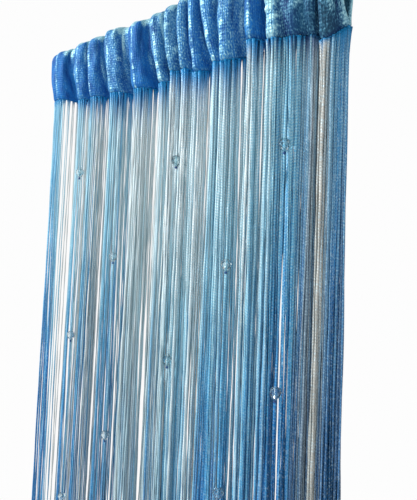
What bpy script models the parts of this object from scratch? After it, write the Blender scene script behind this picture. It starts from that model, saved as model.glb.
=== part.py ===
"""Bead curtain: a gathered rod pocket with a fall of fine strings, some of them threaded with faceted beads.

Metres, +Z up. The origin is the middle of the pocket's top edge, X runs along the rod and -Y is the front.
"""

from bisect import bisect_right
from math import cos, pi, radians, sin
from typing import NamedTuple

import bmesh
import bpy
from mathutils import Matrix, Vector

# Driving dimensions
DROP = 2.000
POCKET_HEIGHT = 0.078
CLOTH_THICKNESS = 0.0013
PARTING_GAP = 0.0005
MM = 0.001

# Rod pocket
ROD_CLEARANCE = 0.0065       # half of the channel that the walls leave for the rod
CROWN_HEIGHT = 0.011         # how far the cloth's arch over the rod comes down
CROWN_ROUND = 0.80           # 1 is an elliptic arch, less is squarer
CROWN_DIP = 0.003            # how far the arch sinks at the furthest crest
SEAM_GAP = 0.0007            # what is left between the two walls at the seam
FRONT_SPREAD = 0.45          # share of the seam's fold depth that the front wall keeps beside the rod
BACK_SPREAD = 0.32           # the same for the back wall
END_TAPER = 0.022            # over this length at each end the walls close in on the rod
SWELL = 0.75                 # under 1, the walls part quickly above the seam
WALL_LEVELS = (0.06, 0.24, 0.50, 0.80)    # shares of a wall's height, from the seam up to the crown
CROWN_ANGLES = (radians(66), radians(30))    # points of the arch, from plumb over the rod

# String fall
STRING_COUNT = 300
STRING_RADIUS = 0.00085
BAND_HEIGHT = 0.0035
BAND_THICKNESS = 0.0026
ROOT_TAPER = 0.0065          # over this drop a string narrows from its root to its own width
KNEE_DEPTH = 0.600           # below this a string hangs plumb
FALL_SPREAD = 0.019          # how far the outermost strings stand outside the heading
FALL_SHIFT = -0.003          # how far the whole fall drifts to the right, negative for the left
ROOT_SHARES = (1 / 3, 2 / 3)  # where the two strings of a band step hang along it
HEM_UNEVENNESS = 0.003
HEM_BEAT = 2.4               # sets how the hem's unevenness changes from string to string

# Beads
BEAD_RADIUS = 0.0050
BEAD_HEIGHT = 0.0100
BEAD_BELT = 0.0036           # height of the bead's straight belt
BEAD_PITCH = 0.196
FIRST_BEAD_DEPTH = 0.162
BEAD_STRINGS = (44, 92, 159, 226, 273)
LOWEST_BEAD_ABOVE_HEM = 0.030


class Sway(NamedTuple):
    """A slow wave of the hanging strings, in metres: how far it moves them, and its length on the cloth."""

    across: float
    forward: float
    length: float
    phase: float


SWAYS = (
    Sway(across=0.0022, forward=0.0, length=0.330, phase=0.6),
    Sway(across=0.0008, forward=0.0, length=0.120, phase=2.0),
    Sway(across=0.0, forward=0.0018, length=0.270, phase=1.9),
)


class Fold(NamedTuple):
    """One fold of the gathered cloth, in millimetres. The folds run from left to right."""

    rise: float      # width from the hollow on its left to its crest
    fall: float      # width from its crest to the hollow on its right
    crest: float     # how far the crest stands forward of the rod at the seam
    hollow: float    # how far back the hollow on its right goes at the seam; negative where it only bends
    lean: float      # how far the crest drifts to the right on its way down from the top edge
    drop: float      # how far its foot hangs below the mean foot line
    sink: float      # how far its top sinks below the top edge


FOLDS = (
    Fold(rise=40.5, fall=29.5, crest=15, hollow=12, lean=-6, drop=-13, sink=0),
    Fold(rise=23, fall=18, crest=12, hollow=9, lean=-3, drop=-6, sink=0),
    Fold(rise=14, fall=24.5, crest=15, hollow=11, lean=-1, drop=-3, sink=1),
    Fold(rise=18.5, fall=28.5, crest=16, hollow=13, lean=9, drop=0, sink=1),
    Fold(rise=23, fall=21, crest=17, hollow=9, lean=8, drop=4, sink=5),
    Fold(rise=16, fall=11, crest=13, hollow=8, lean=14, drop=4, sink=5),
    Fold(rise=9, fall=11, crest=12, hollow=8, lean=3, drop=-5, sink=4),
    Fold(rise=9, fall=11, crest=11, hollow=9, lean=-1, drop=-4, sink=2),
    Fold(rise=9, fall=11, crest=14, hollow=8, lean=5, drop=4, sink=0),
    Fold(rise=8, fall=13, crest=12, hollow=8, lean=16, drop=-1, sink=1),
    Fold(rise=12, fall=18.5, crest=15, hollow=11, lean=-3, drop=2, sink=0),
    Fold(rise=15.5, fall=12.5, crest=13, hollow=13, lean=-7, drop=-10, sink=1),
    Fold(rise=13, fall=14, crest=17, hollow=-9, lean=-1, drop=-3, sink=0),
    Fold(rise=22, fall=3.5, crest=-1, hollow=16, lean=-17, drop=-4, sink=0),
    Fold(rise=7, fall=13.5, crest=-2, hollow=15, lean=-14, drop=2, sink=1),
)
FIRST_HOLLOW = 4             # how far back the left end starts, in millimetres
LAST_DROP = -8               # the right end's foot is drawn up a little, in millimetres
LEFT_END = -0.238            # x of the gathered cloth's left end
SQUARENESS = 0.86            # 0 is a sine wave, 1 has flanks that run straight back
WIDE_FLANK = 17              # flanks from this width up get more steps
STEPS_WIDE, STEPS_NARROW = 4, 3
GATHERED_WIDTH = sum(fold.rise + fold.fall for fold in FOLDS) * MM
RIGHT_END = LEFT_END + GATHERED_WIDTH
FURTHEST = max(fold.crest for fold in FOLDS) * MM
DEEPEST = max(fold.hollow for fold in FOLDS) * MM


class Place(NamedTuple):
    """One place along the gathered cloth: its line at the seam and how it leans and hangs there."""

    x: float
    y: float
    lean: float
    drop: float
    sink: float


def clear_scene():
    for obj in list(bpy.data.objects):
        bpy.data.objects.remove(obj, do_unlink=True)


def material(name, colour, roughness, metallic=0.0):
    made = bpy.data.materials.new(name)
    made.use_nodes = True
    shader = made.node_tree.nodes["Principled BSDF"]
    shader.inputs["Base Color"].default_value = (*colour, 1.0)
    shader.inputs["Roughness"].default_value = roughness
    shader.inputs["Metallic"].default_value = metallic
    return made


def turning_points():
    """The hollows and crests of the seam in turn."""
    x = LEFT_END
    first = FOLDS[0]
    places = [Place(x, FIRST_HOLLOW * MM, first.lean * MM, first.drop * MM, first.sink * MM)]
    for fold, following in zip(FOLDS, FOLDS[1:] + FOLDS[-1:]):
        x += fold.rise * MM
        places.append(Place(x, -fold.crest * MM, fold.lean * MM, fold.drop * MM, fold.sink * MM))
        x += fold.fall * MM
        lean = (fold.lean + following.lean) / 2
        drop = (fold.drop + following.drop) / 2
        sink = (fold.sink + following.sink) / 2
        places.append(Place(x, fold.hollow * MM, lean * MM, drop * MM, sink * MM))
    places[-1] = places[-1]._replace(drop=LAST_DROP * MM)
    return places


def seam_places():
    """The seam's line in plan. Each flank runs on a cosine, steepened towards the square."""
    places = []
    turns = turning_points()
    for here, there in zip(turns, turns[1:]):
        steps = STEPS_WIDE if there.x - here.x >= WIDE_FLANK * MM else STEPS_NARROW
        for i in range(steps):
            t = i / steps
            along = t + SQUARENESS * sin(2 * pi * t) / (2 * pi)
            ease = (1 - cos(pi * t)) / 2
            shares = (along, ease, ease, ease, ease)
            places.append(Place(*(a + (b - a) * share for a, b, share in zip(here, there, shares))))
    places.append(turns[-1])
    return places


def leaning_x(place, z):
    """A fold leans about the middle of the pocket's height."""
    return place.x - place.lean * (0.5 + z / POCKET_HEIGHT)


def pocket_section(place):
    """The pocket's inner line at one place along the rod: up the front wall, over the rod, down the back."""
    to_end = max(min(place.x - LEFT_END, RIGHT_END - place.x), 0.0)
    opened = min(to_end / END_TAPER, 1.0)
    front = -(ROD_CLEARANCE + FRONT_SPREAD * (DEEPEST - place.y) * opened)
    back = ROD_CLEARANCE + BACK_SPREAD * (FURTHEST + place.y) * opened
    crest_share = (DEEPEST - place.y) / (FURTHEST + DEEPEST)
    top = -CLOTH_THICKNESS - CROWN_DIP * crest_share - place.sink
    bottom = -POCKET_HEIGHT - place.drop + CLOTH_THICKNESS
    wall_height = top - CROWN_HEIGHT - bottom

    def wall(reach, gap):
        """One wall from the seam to the crown."""
        line = []
        for up in WALL_LEVELS:
            swell = sin(pi / 2 * up ** SWELL)
            line.append((place.y + gap / 2 + (reach - place.y) * swell, bottom + up * wall_height))
        for angle in CROWN_ANGLES:
            out = reach * sin(angle) ** CROWN_ROUND
            line.append((out, top - CROWN_HEIGHT * (1 - cos(angle) ** CROWN_ROUND)))
        return line

    up_the_front = wall(front, -SEAM_GAP)
    down_the_back = wall(back, SEAM_GAP)[::-1]
    loop = [(place.y, bottom)] + up_the_front + [(0.0, top)] + down_the_back
    return [(leaning_x(place, z), y, z) for y, z in loop]


def make_heading(finish):
    """The gathered pocket: a sheet whose section loops over the rod, thickened outwards."""
    bm = bmesh.new()
    rings = [[bm.verts.new(point) for point in pocket_section(place)] for place in seam_places()]
    for left, right in zip(rings, rings[1:]):
        for i in range(len(left)):
            j = (i + 1) % len(left)
            bm.faces.new((left[i], right[i], right[j], left[j]))
    bmesh.ops.recalc_face_normals(bm, faces=bm.faces)
    mesh = bpy.data.meshes.new("heading")
    bm.to_mesh(mesh)
    bm.free()
    mesh.shade_smooth()
    heading = bpy.data.objects.new("heading", mesh)
    bpy.context.scene.collection.objects.link(heading)
    wall = heading.modifiers.new("cloth", "SOLIDIFY")
    wall.thickness = CLOTH_THICKNESS
    wall.offset = 1.0
    mesh.materials.append(finish)
    return heading


class SeamLine:
    """The pocket's foot, measured along the cloth, so that strings are spaced evenly on the cloth."""

    def __init__(self):
        self.points = []
        for place in seam_places():
            foot = -POCKET_HEIGHT - place.drop
            self.points.append(Vector((leaning_x(place, foot), place.y, foot)))
        self.run = [0.0]
        for a, b in zip(self.points, self.points[1:]):
            self.run.append(self.run[-1] + (b - a).length)
        self.length = self.run[-1]

    def at(self, distance):
        """The point at this distance along the foot."""
        step = min(bisect_right(self.run, distance), len(self.run) - 1)
        share = (distance - self.run[step - 1]) / (self.run[step] - self.run[step - 1])
        return self.points[step - 1].lerp(self.points[step], share)


def drift(x, run, depth):
    """How far a string stands off plumb: the fall spreads below the heading, and sways in slow waves."""
    grown = min(depth / KNEE_DEPTH, 1.0)
    dx = FALL_SHIFT + FALL_SPREAD * x / (GATHERED_WIDTH / 2)
    dy = 0.0
    for sway in SWAYS:
        wave = sin(2 * pi * run / sway.length + sway.phase)
        dx += sway.across * wave
        dy += sway.forward * wave
    return Vector((dx * grown, dy * grown, 0.0))


def bridge(bm, upper, lower):
    """Side walls between two rings of the same size."""
    for i in range(len(upper)):
        j = (i + 1) % len(upper)
        bm.faces.new((upper[i], upper[j], lower[j], lower[i]))


def widen(bm, small, large, flip):
    """Joins a ring of three to a ring of six whose even points face the three."""
    for i in range(3):
        j = (i + 1) % 3
        here, between, there = large[2 * i], large[2 * i + 1], large[(2 * i + 2) % 6]
        for face in ((small[i], between, here), (small[i], small[j], between), (small[j], there, between)):
            bm.faces.new(face[::-1] if flip else face)


def bead(bm, spokes, centre, upper):
    """A six-sided bead on a string: it opens out from the string, runs down its belt and closes again."""
    around = []
    for i in range(3):
        around += [spokes[i], (spokes[i] + spokes[(i + 1) % 3]).normalized()]

    def ring(directions, radius, z):
        return [bm.verts.new((centre.x + d.x * radius, centre.y + d.y * radius, z)) for d in directions]

    neck = ring(spokes, STRING_RADIUS, centre.z + BEAD_HEIGHT / 2)
    belt_top = ring(around, BEAD_RADIUS, centre.z + BEAD_BELT / 2)
    belt_foot = ring(around, BEAD_RADIUS, centre.z - BEAD_BELT / 2)
    foot = ring(spokes, STRING_RADIUS, centre.z - BEAD_HEIGHT / 2)
    bridge(bm, upper, neck)
    widen(bm, neck, belt_top, False)
    bridge(bm, belt_top, belt_foot)
    widen(bm, foot, belt_foot, True)
    return foot


def bead_depths(number):
    """Depths of the beads on one beaded string; neighbouring beaded strings are half a pitch apart."""
    depth = FIRST_BEAD_DEPTH + (BEAD_PITCH / 2 if number % 2 else 0.0)
    depths = []
    while depth < DROP - LOWEST_BEAD_ABOVE_HEM:
        depths.append(depth)
        depth += BEAD_PITCH
    return depths


def string(bm, root, run, index):
    """One string: its root narrows to the yarn's own width, which then hangs to the hem."""
    middle = sum((corner.co for corner in root), Vector()) / len(root)
    to_corner = Vector((root[0].co.x - middle.x, root[0].co.y - middle.y, 0.0)).normalized()
    spokes = [Matrix.Rotation(2 * pi * i / 3, 3, "Z") @ to_corner for i in range(3)]

    def centre(z):
        shift = drift(middle.x, run, middle.z - z)
        return Vector((middle.x + shift.x, middle.y + shift.y, z))

    def ring(z):
        c = centre(z)
        return [bm.verts.new((c.x + d.x * STRING_RADIUS, c.y + d.y * STRING_RADIUS, z)) for d in spokes]

    upper = ring(middle.z - ROOT_TAPER)
    bridge(bm, root, upper)
    if index in BEAD_STRINGS:
        for depth in bead_depths(BEAD_STRINGS.index(index)):
            upper = bead(bm, spokes, centre(-depth), upper)
    else:
        knee = ring(middle.z - KNEE_DEPTH)
        bridge(bm, upper, knee)
        upper = knee
    hem = ring(-DROP + HEM_UNEVENNESS * (1 + sin(index * HEM_BEAT)) / 2)
    bridge(bm, upper, hem)
    bm.faces.new(hem)


def make_string_fall(finish):
    """A narrow band under the pocket's foot with every string hanging from it, two to each step."""
    seam = SeamLine()
    steps = STRING_COUNT // 2
    step_length = seam.length / steps
    nodes = [seam.at(step_length * i) for i in range(steps + 1)]
    bm = bmesh.new()
    columns = []
    for i, node in enumerate(nodes):
        along = nodes[min(i + 1, steps)] - nodes[max(i - 1, 0)]
        side = Vector((-along.y, along.x, 0.0)).normalized() * BAND_THICKNESS / 2
        top = Vector((0.0, 0.0, -PARTING_GAP))
        bottom = Vector((0.0, 0.0, -PARTING_GAP - BAND_HEIGHT))
        corners = (node - side + top, node + side + top, node + side + bottom, node - side + bottom)
        columns.append([bm.verts.new(corner) for corner in corners])
    for left, right in zip(columns, columns[1:]):
        for a, b in ((0, 1), (1, 2), (3, 0)):
            bm.faces.new((left[a], right[a], right[b], left[b]))
    bm.faces.new(columns[0])
    bm.faces.new(columns[-1][::-1])
    for i, (left, right) in enumerate(zip(columns, columns[1:])):
        front_root = (left[3], right[3], left[2])
        back_root = (right[3], right[2], left[2])
        string(bm, front_root, (i + ROOT_SHARES[0]) * step_length, 2 * i)
        string(bm, back_root, (i + ROOT_SHARES[1]) * step_length, 2 * i + 1)
    bmesh.ops.recalc_face_normals(bm, faces=bm.faces)
    mesh = bpy.data.meshes.new("string_fall")
    bm.to_mesh(mesh)
    bm.free()
    fall = bpy.data.objects.new("string_fall", mesh)
    bpy.context.scene.collection.objects.link(fall)
    mesh.materials.append(finish)
    print(f"cloth {seam.length:.3f} m wide, gathered to {GATHERED_WIDTH:.3f} m")
    return fall


clear_scene()
make_heading(material("woven lurex band", (0.055, 0.22, 0.55), 0.45))
make_string_fall(material("lurex yarn", (0.23, 0.50, 0.72), 0.40))
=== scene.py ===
from math import cos, pi, radians, sin

import bpy
import numpy as np
from mathutils import Matrix, Vector


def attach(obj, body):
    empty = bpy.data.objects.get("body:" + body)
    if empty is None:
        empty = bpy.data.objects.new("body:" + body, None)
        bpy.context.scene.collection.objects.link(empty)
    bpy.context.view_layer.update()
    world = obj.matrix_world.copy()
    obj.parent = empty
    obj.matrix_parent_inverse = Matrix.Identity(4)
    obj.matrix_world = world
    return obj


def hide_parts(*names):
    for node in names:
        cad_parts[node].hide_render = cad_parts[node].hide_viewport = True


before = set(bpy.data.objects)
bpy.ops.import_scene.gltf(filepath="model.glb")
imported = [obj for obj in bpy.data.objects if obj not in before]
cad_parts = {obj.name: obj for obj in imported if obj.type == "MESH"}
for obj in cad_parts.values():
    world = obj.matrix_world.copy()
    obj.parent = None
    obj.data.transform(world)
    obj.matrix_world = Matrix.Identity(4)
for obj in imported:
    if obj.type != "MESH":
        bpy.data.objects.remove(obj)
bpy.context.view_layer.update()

mm = 0.001


def table(columns, rows):
    return np.array(rows, dtype=[(name, float) for name in columns.split()])


# The curtain's own sizes, in metres. They repeat the solids' driving dimensions.
curtain = dict(
    drop=2.000,
    pocketHeight=0.078,
    clothThickness=0.0013,
    rodClearance=0.0065,  # half of the channel that the walls leave for the rod
    crownHeight=0.011,  # how far the cloth's arch over the rod comes down
    crownRound=0.80,  # 1 is an elliptic arch, less is squarer
    crownDip=0.0030,  # how far the arch sinks at the furthest crest
    seamGap=0.0007,  # between the two walls at the seam
    frontSpread=0.45,  # share of the seam's fold depth kept by the front wall beside the rod
    backSpread=0.32,
    endTaper=0.022,  # over this length at each end the walls close in on the rod
    swell=0.75,  # under 1, the walls part quickly above the seam
    squareness=0.86,  # 0 is a sine wave, 1 has flanks that run straight back
    firstHollow=4 * mm,
    leftEnd=-0.238,  # x of the gathered cloth's left end
    lastDrop=-8 * mm,  # the cloth's right end is drawn up a little
)

# One row a fold, from left to right, in millimetres: width up to its crest and down from it, how far the
# crest stands forward and the hollow on its right goes back, how far the crest drifts right on its way
# down, how low its foot hangs, how far its top sinks. Before the right end the cloth runs nearly flat: there
# a crest under 0 stays behind the middle line and a hollow under 0 before it.
foldTable = table("rise fall crest hollow lean drop sink", [
    (40.5, 29.5, 15, 12, -6, -13, 0),
    (23, 18, 12, 9, -3, -6, 0),
    (14, 24.5, 15, 11, -1, -3, 1),
    (18.5, 28.5, 16, 13, 9, 0, 1),
    (23, 21, 17, 9, 8, 4, 5),
    (16, 11, 13, 8, 14, 4, 5),
    (9, 11, 12, 8, 3, -5, 4),
    (9, 11, 11, 9, -1, -4, 2),
    (9, 11, 14, 8, 5, 4, 0),
    (8, 13, 12, 8, 16, -1, 1),
    (12, 18.5, 15, 11, -3, 2, 0),
    (15.5, 12.5, 13, 13, -7, -10, 1),
    (13, 14, 17, -9, -1, -3, 0),
    (22, 3.5, -1, 16, -17, -4, 0),
    (7, 13.5, -2, 15, -14, 2, 1),
])
flankCount = 2 * len(foldTable)
gatheredWidth = float((foldTable["rise"] + foldTable["fall"]).sum()) * mm
rightEnd = curtain["leftEnd"] + gatheredWidth
furthest = float(foldTable["crest"].max()) * mm
deepest = float(foldTable["hollow"].max()) * mm


def linear(hexColour):
    # sRGB hex to linear: c/12.92 below 0.04045, else ((c + 0.055)/1.055)^2.4
    s = np.array([int(hexColour[i:i + 2], 16) for i in (1, 3, 5)]) / 255
    c = np.where(s <= 0.04045, s / 12.92, ((s + 0.055) / 1.055) ** 2.4)
    return (*[float(v) for v in c], 1.0)


def setNode(tree, node, settings):
    # a value or a link for each socket or property, a node standing for its first output
    for name, value in settings.items():
        if isinstance(value, bpy.types.Node):
            value = value.outputs[0]
        if isinstance(value, bpy.types.NodeSocket):
            tree.links.new(value, node.inputs[name])
        elif isinstance(name, int) or name in node.inputs:
            node.inputs[name].default_value = value
        else:
            setattr(node, name, value)


def addNode(tree, kind, settings=None, stops=()):
    # one node with its settings and links, and on a colour ramp a hex colour for each rising position
    node = tree.nodes.new("ShaderNode" + kind)
    setNode(tree, node, settings or {})
    if stops:
        elements = node.color_ramp.elements
        elements[0].position, elements[1].position = stops[0][0], stops[-1][0]
        for position, _ in stops[1:-1]:
            elements.new(position)
        for element, (_, hexColour) in zip(elements, stops):
            element.color = linear(hexColour)
    return node


def newMaterial(name):
    made = bpy.data.materials.new(name)
    made.use_nodes = True
    return made, made.node_tree, made.node_tree.nodes["Principled BSDF"]


def makeMesh(name, points, quads=None, triangles=None, attributes=None, bakeMap=None):
    # whole arrays go into the mesh: corners of the quads first, then of the triangles
    quads = np.zeros((0, 4), int) if quads is None else quads
    triangles = np.zeros((0, 3), int) if triangles is None else triangles
    corners = np.concatenate((quads.ravel(), triangles.ravel()))
    starts = np.concatenate((np.arange(len(quads)) * 4, len(quads) * 4 + np.arange(len(triangles)) * 3))
    mesh = bpy.data.meshes.new(name)
    mesh.vertices.add(len(points))
    mesh.vertices.foreach_set("co", np.asarray(points, np.float32).ravel())
    mesh.loops.add(len(corners))
    mesh.loops.foreach_set("vertex_index", corners.astype(np.int32))
    mesh.polygons.add(len(starts))
    mesh.polygons.foreach_set("loop_start", starts.astype(np.int32))
    mesh.update(calc_edges=True)
    mesh.validate()
    for key, values in (attributes or {}).items():
        values = np.asarray(values, np.float32)
        kind, field = ("FLOAT", "value") if values.ndim == 1 else ("FLOAT_VECTOR", "vector")
        mesh.attributes.new(key, kind, "POINT").data.foreach_set(field, values.ravel())
    if bakeMap is not None:
        layer = mesh.uv_layers.new(name="OFBake")
        layer.uv.foreach_set("vector", np.asarray(bakeMap, np.float32)[corners].ravel())
    mesh.shade_smooth()
    piece = bpy.data.objects.new(name, mesh)
    bpy.context.scene.collection.objects.link(piece)
    return piece


def joined(*parts):
    return np.concatenate([part.reshape(-1, 3) for part in parts])


def gridQuads(rows, columns):
    # quad (i, j), (i, j+1), (i+1, j+1), (i+1, j) of a grid numbered row by row; the last row meets the first
    i, j = np.meshgrid(np.arange(rows), np.arange(columns - 1), indexing="ij")
    here, below = i * columns + j, (i + 1) % rows * columns + j
    return np.stack((here, here + 1, below + 1, below), -1).reshape(-1, 4)


def tubeQuads(count, levels, sides):
    # quad (i, j), (i+1, j), (i+1, j+1), (i, j+1) of each tube, its points numbered ring by ring
    s, i, j = np.meshgrid(np.arange(count), np.arange(levels - 1), np.arange(sides), indexing="ij")
    here, following = (s * levels + i) * sides, (j + 1) % sides
    corners = (here + j, here + sides + j, here + sides + following, here + following)
    return np.stack(corners, -1).reshape(-1, 4)


def tubeCaps(count, levels, sides):
    # a fan over each tube's first and last ring, round its two poles, which are numbered after all the rings
    s, j = np.meshgrid(np.arange(count), np.arange(sides), indexing="ij")
    following, pole = (j + 1) % sides, count * levels * sides + 2 * s
    first, last = s * levels * sides, (s * levels + levels - 1) * sides
    upper = np.stack((pole, first + j, first + following), -1)
    lower = np.stack((pole + 1, last + following, last + j), -1)
    return joined(upper, lower)


# Where the gathered cloth runs

def turnValues(column):
    # a fold's own value at its crest, the mean with the next fold's at the hollow between them
    own = foldTable[column]
    between = (own + np.append(own[1:], own[-1])) / 2
    return np.concatenate(([own[0]], np.column_stack((own, between)).ravel()))


def turningPoints():
    # x adds up the widths from the left end; y is -crest and +hollow in turn
    widths = np.column_stack((foldTable["rise"], foldTable["fall"])).ravel() * mm
    x = np.concatenate(([0.0], np.cumsum(widths))) + curtain["leftEnd"]
    depths = np.column_stack((-foldTable["crest"], foldTable["hollow"])).ravel() * mm
    y = np.concatenate(([curtain["firstHollow"]], depths))
    sides = [turnValues(column) * mm for column in ("lean", "drop", "sink")]
    sides[1][-1] = curtain["lastDrop"]
    return np.array((x, y, *sides))


turns = turningPoints()


def seamAt(u):
    # u counts flanks and t is its fraction: x runs on t + q sin(2 pi t)/(2 pi), the rest on (1 - cos(pi t))/2
    k = np.clip(np.floor(u).astype(int), 0, flankCount - 1)
    t = u - k
    along = t + curtain["squareness"] * np.sin(2 * pi * t) / (2 * pi)
    ease = (1 - np.cos(pi * t)) / 2
    share = np.stack((along, ease, ease, ease, ease))
    return turns[:, k] + (turns[:, k + 1] - turns[:, k]) * share


def leaningX(x, lean, z):
    # a fold leans about the middle of the pocket's height
    return x - lean * (0.5 + z / curtain["pocketHeight"])


def measureSeam():
    # length of the foot line up to each u, summed over short chords
    chordsPerFlank = 60
    u = np.linspace(0, flankCount, flankCount * chordsPerFlank + 1)
    x, y, lean, drop, sink = seamAt(u)
    z = -curtain["pocketHeight"] - drop
    foot = np.stack((leaningX(x, lean, z), y, z), -1)
    chords = np.linalg.norm(np.diff(foot, axis=0), axis=1)
    return u, np.concatenate(([0.0], np.cumsum(chords)))


seamU, seamRun = measureSeam()
clothWidth = float(seamRun[-1])


def footAt(run):
    # point of the foot line after this length of cloth, and the level direction across the cloth there
    def point(length):
        x, y, lean, drop, sink = seamAt(np.interp(length, seamRun, seamU))
        z = -curtain["pocketHeight"] - drop
        return np.stack((leaningX(x, lean, z), y, z), -1)
    step = 0.6 * mm
    ahead = point(np.minimum(run + step, clothWidth)) - point(np.maximum(run - step, 0))
    across = np.stack((-ahead[..., 1], ahead[..., 0], np.zeros_like(ahead[..., 0])), -1)
    return point(run), across / np.linalg.norm(across, axis=-1, keepdims=True)


print(f"cloth: {clothWidth:.3f} m wide, gathered to {gatheredWidth:.3f} m")

# Camera at the photograph's viewing angle: close, from the front right, level with the upper strings

camera = dict(
    place=(0.5468, -0.3733, -0.2473),
    turn=radians(-50.47),  # from looking along +Y
    tilt=radians(-0.03),
    roll=radians(2.50),
    lens=45.36,  # for the long side of a 36 mm sensor
)


def makeCamera():
    # forward from turn and tilt, right = forward x Z, then both rolled about forward
    turn, tilt, roll = camera["turn"], camera["tilt"], camera["roll"]
    forward = Vector((sin(turn) * cos(tilt), cos(turn) * cos(tilt), sin(tilt)))
    right = forward.cross(Vector((0, 0, 1))).normalized()
    up = right.cross(forward)
    rolledRight = cos(roll) * right + sin(roll) * up
    rolledUp = cos(roll) * up - sin(roll) * right
    data = bpy.data.cameras.new("camera")
    data.lens, data.sensor_width = camera["lens"], 36
    data.clip_start, data.clip_end = 0.02, 30
    made = bpy.data.objects.new("camera", data)
    made.matrix_world = Matrix(
        [(*column,) for column in zip(rolledRight, rolledUp, -forward, camera["place"])] + [(0, 0, 0, 1)])
    bpy.context.scene.collection.objects.link(made)
    bpy.context.scene.camera = made


makeCamera()
print("camera placed")

# Heading: the woven band, folded over into a pocket and gathered

heading = dict(
    columns=470,  # along the cloth
    wallRows=36,
    crownRows=14,
    pinch=1.1 * mm,  # how far the cloth is pinched proud along each crest
    pinchWidth=2.4,  # millimetres of cloth
    pinchMean=0.75,  # the pinch comes and goes along a crest
    pinchChange=0.35,
    pinchPitch=24,
    backCrease=0.7,  # the back wall's creases, as a share of the front's
    pucker=0.55 * mm,  # the small gathers above the seam
    puckerPitch=6.5,  # millimetres of cloth from one gather to the next
    puckerHeight=17.0,  # millimetres up to which they reach
    puckerDrift=40,  # millimetres over which the gathers come nearer or further
    rumple=0.5 * mm,  # soft unevenness of the whole cloth
    rumplePitch=17,
    calmFoot=3.0,  # millimetres above the seam where the cloth lies still
    ribPitch=2.2,  # millimetres; the real ribs are about half as far apart, too fine to show
    weftPitch=2.6,  # drawn as coarse as the ribs
    lurexThreshold=1.63,
    seed=41,
)

# Main creases, given one by one. flank counts half folds from the left end and height, length and width are
# millimetres; tilt is degrees from plumb, rise is millimetres out of the cloth, negative for a trough.
creaseTable = table("flank height length width tilt rise", [
    (1.45, 40, 60, 6, 4, -1),
    (1.8, 58, 26, 3, -12, 1.2),
    (2.7, 30, 34, 3, 10, 1.1),
    (3.5, 52, 30, 2.6, -6, 1.3),
    (5.35, 54, 34, 3.2, 8, -1.3),
    (5.6, 34, 40, 3, -5, 1.2),
    (7.25, 66, 22, 2.4, 8, 1.5),
    (7.7, 58, 40, 2.6, 0, 1.7),
    (7.4, 37, 16, 2.2, 84, 1.2),
    (7.55, 22, 22, 3.5, 12, -1.2),
    (9.35, 50, 60, 5.5, 6, -1.2),
    (9.75, 30, 36, 3.2, -4, 1.1),
    (11.55, 54, 44, 2.6, -8, 1.6),
    (12.4, 44, 40, 2.2, 6, 1.2),
    (13.45, 20, 14, 2.2, 70, 1.3),
    (14.5, 24, 14, 2.2, -64, 1.3),
    (15.5, 38, 40, 2.4, 5, -1.1),
    (17.5, 30, 30, 2, -8, 1.1),
    (19.55, 56, 30, 2.2, 10, 1.2),
    (21.4, 46, 50, 4, -4, -1.2),
    (21.75, 30, 30, 2.4, 10, 1.1),
    (23.5, 40, 40, 2.6, 4, 1),
    (24.85, 62, 13, 1.7, 78, 1.7),
    (24.95, 54, 15, 1.6, 96, 1.6),
    (25, 46, 14, 1.7, 82, 1.8),
    (24.92, 38, 15, 1.6, 99, 1.6),
    (25.02, 30, 14, 1.8, 76, 1.7),
    (24.95, 22, 13, 1.6, 94, 1.5),
    (25, 70, 13, 1.6, 88, 1.4),
    (26.4, 24, 26, 3, 50, 1.2),
    (26.55, 50, 50, 5, 4, -1.4),
    (28.85, 48, 16, 1.8, 86, 1),
    (29, 40, 18, 1.8, 95, 1.1),
    (29.1, 56, 16, 1.8, 84, 1),
    (29.3, 22, 22, 3, -40, 1.2),
])

# Where the lurex with its painted highlights and the painted shade show, in millimetres of cloth and shares
# of 1
lurexLightPlace = dict(
    glowMean=0.85,  # painted highlight: the bright crests come and go
    glowChange=0.3,
    glowPitch=9,
    glowRange=(0.3, 1.3),
    endGlow=6.0,  # width of the painted highlight on the bright right end
    endShare=0.66,
    creaseRise=1.4 * mm,  # a crease this high gets a painted highlight, one this deep painted shade
    ridgeHighlight=0.55,
    troughShade=0.6,
    crownDepth=21,  # a painted highlight over the rod reaches this far down its crown
    crownChange=3,
    crownPitch=14,
    crownFade=9,
    crownHighlight=0.90,
    backHighlight=0.9,  # painted highlight: on the back wall the hollows are the bright crests
    backLeast=0.15,
    # painted shade along the foot reaches this many millimetres up
    hemShadeHeight=2.8,
)
# How much silver lurex and painted highlight each fold shows, from left to right: width of its bright crest
# in millimetres of cloth, share of lurex and painted highlight on the crest and on the flanks. deep is how
# many millimetres of cloth beside the hollow on its right keep the painted shade at full, hem how much
# painted shade lies along its foot, and the last column how much dark grey-blue painted shade lies on the
# fold.
lurexLightTable = table("width crest flank deep hem faded", [
    (1.8, 0.66, 0.05, 6, 0, 0),
    (2, 0.7, 0.2, 4, 0, 0),
    (2, 0.7, 0.22, 4, 0, 0),
    (2.6, 0.74, 0.32, 4, 0, 0.1),
    (1.5, 0.8, 0.06, 7, 0, 0),
    (3.4, 0.78, 0.36, 4, 0, 0.1),
    (2.2, 0.75, 0.4, 4, 0, 0.2),
    (1.8, 0.7, 0.34, 4, 0, 0.1),
    (2, 0.74, 0.22, 4, 0, 0),
    (3, 0.72, 0.3, 4, 0, 0),
    (2.8, 0.74, 0.38, 4, 0, 0),
    (2, 0.72, 0.1, 8, 0.6, 0),
    (12, 0.86, 0.24, 8, 0.7, 0.3),
    (4, 0.28, 0.2, 14, 0.8, 0.9),
    (3, 0.28, 0.12, 16, 0.9, 1),
])


def smoothStep(value):
    # 3v^2 - 2v^3 between 0 and 1
    value = np.clip(value, 0, 1)
    return value * value * (3 - 2 * value)


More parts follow.
